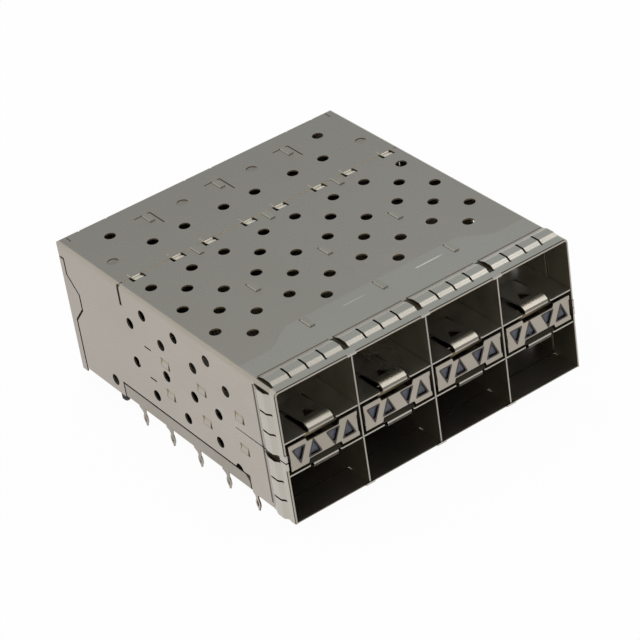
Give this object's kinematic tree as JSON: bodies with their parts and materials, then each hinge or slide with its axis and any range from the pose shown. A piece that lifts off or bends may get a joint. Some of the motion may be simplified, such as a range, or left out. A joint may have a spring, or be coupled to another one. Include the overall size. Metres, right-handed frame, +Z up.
{
  "type": "stacked transceiver cage",
  "caption": "Stacked sheet-metal cage for small pluggable transceivers, with spring gaskets round the mouth, light-pipe windows and press-fit pins.",
  "frame": {"origin": "middle of the cage's length and width, on the face that sits on the circuit board", "axes": "+X across the ports to the right as seen from the mouth, -Y out of the ports, +Z up from the board"},
  "size_m": [0.0584, 0.0631, 0.0283],
  "materials": {
    "cage_sheet": "satin nickel-silver sheet with fine rolling grain",
    "floor_sheet": "satin nickel-silver sheet",
    "divider_sheet": "satin nickel-silver sheet",
    "core_sheet": "bright nickel-silver sheet",
    "face_sheet": "matte plated sheet",
    "spring_strip": "bright plated spring strip",
    "clear_moulding": "clear moulded plastic light pipes",
    "black_moulding": "black glass-filled plastic",
    "guide_moulding": "black plastic",
    "contact_gold": "gold-plated contacts"
  },
  "bodies": {
    "root": {"cage_shell": "cage_sheet", "bottom_plate": "floor_sheet", "divider_1": "divider_sheet", "divider_2": "divider_sheet", "divider_3": "divider_sheet", "core_plates_1": "core_sheet", "face_plate_1": "face_sheet", "light_pipes_1": "clear_moulding", "connector_1": "black_moulding", "contacts_1": "contact_gold", "tail_guide_1": "guide_moulding", "core_plates_2": "core_sheet", "face_plate_2": "face_sheet", "light_pipes_2": "clear_moulding", "connector_2": "black_moulding", "contacts_2": "contact_gold", "tail_guide_2": "guide_moulding", "core_plates_3": "core_sheet", "face_plate_3": "face_sheet", "light_pipes_3": "clear_moulding", "connector_3": "black_moulding", "contacts_3": "contact_gold", "tail_guide_3": "guide_moulding", "core_plates_4": "core_sheet", "face_plate_4": "face_sheet", "light_pipes_4": "clear_moulding", "connector_4": "black_moulding", "contacts_4": "contact_gold", "tail_guide_4": "guide_moulding", "gasket_upper": "spring_strip", "gasket_lower": "spring_strip"}
  },
  "joints": []
}
